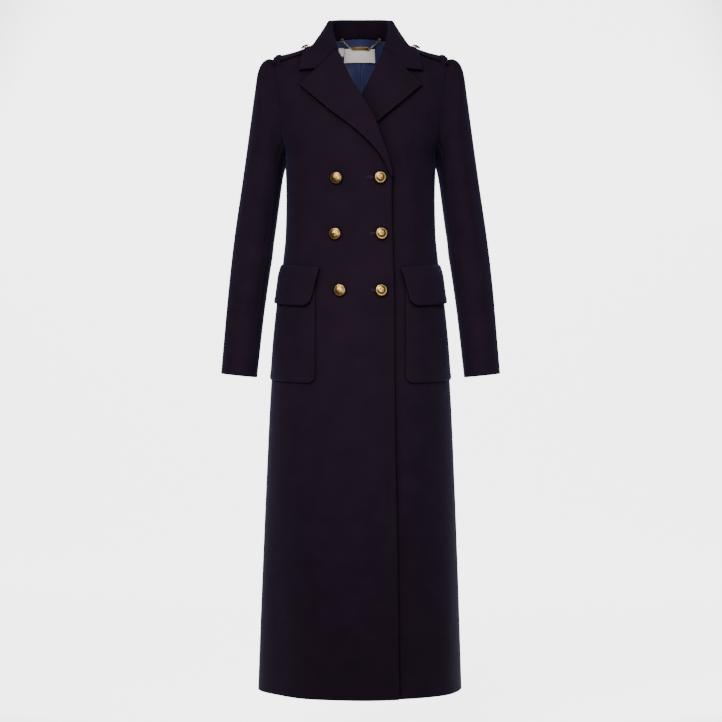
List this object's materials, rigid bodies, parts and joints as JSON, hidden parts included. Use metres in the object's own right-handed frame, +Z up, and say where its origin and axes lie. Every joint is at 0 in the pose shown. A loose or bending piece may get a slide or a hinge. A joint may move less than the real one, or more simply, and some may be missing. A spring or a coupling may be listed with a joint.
{
  "type": "maxi coat",
  "caption": "Ankle-length double-breasted wool coat with a notched collar, wide lapels, shoulder straps, flapped patch pockets and domed buttons, hollow as worn.",
  "frame": {"origin": "midway between the points where the shoulder seams meet the neck, where a wearer's shoulders hold the coat", "axes": "+Z up, -Y to the front, +X to the wearer's left"},
  "size_m": [0.5556, 0.3249, 1.3467],
  "materials": {
    "wool": "matte felted wool with a short nap",
    "lining": "satin",
    "label": "woven",
    "brass": "aged, half polished"
  },
  "bodies": {
    "root": {"front_right": "wool", "front_left": "wool", "back": "wool", "lapel_right": "wool", "lapel_left": "wool", "collar": "wool", "sleeve_right_top": "wool", "sleeve_right_under": "wool", "sleeve_left_top": "wool", "sleeve_left_under": "wool", "cuff_right": "wool", "cuff_left": "wool", "pocket_right": "wool", "pocket_left": "wool", "flap_right": "wool", "flap_left": "wool", "epaulette_right": "wool", "epaulette_left": "wool", "loop_right": "wool", "loop_left": "wool", "button_strap_right": "brass", "button_strap_left": "brass", "button_edge_top": "brass", "button_edge_middle": "brass", "button_edge_bottom": "brass", "button_inner_top": "brass", "button_inner_middle": "brass", "button_inner_bottom": "brass", "lining_back": "lining", "neck_label": "label", "size_label": "label", "hanger_plate": "brass", "hanger_ring_right": "brass", "hanger_ring_left": "brass", "hanger_chain_right": "brass", "hanger_chain_left": "brass"}
  },
  "joints": []
}
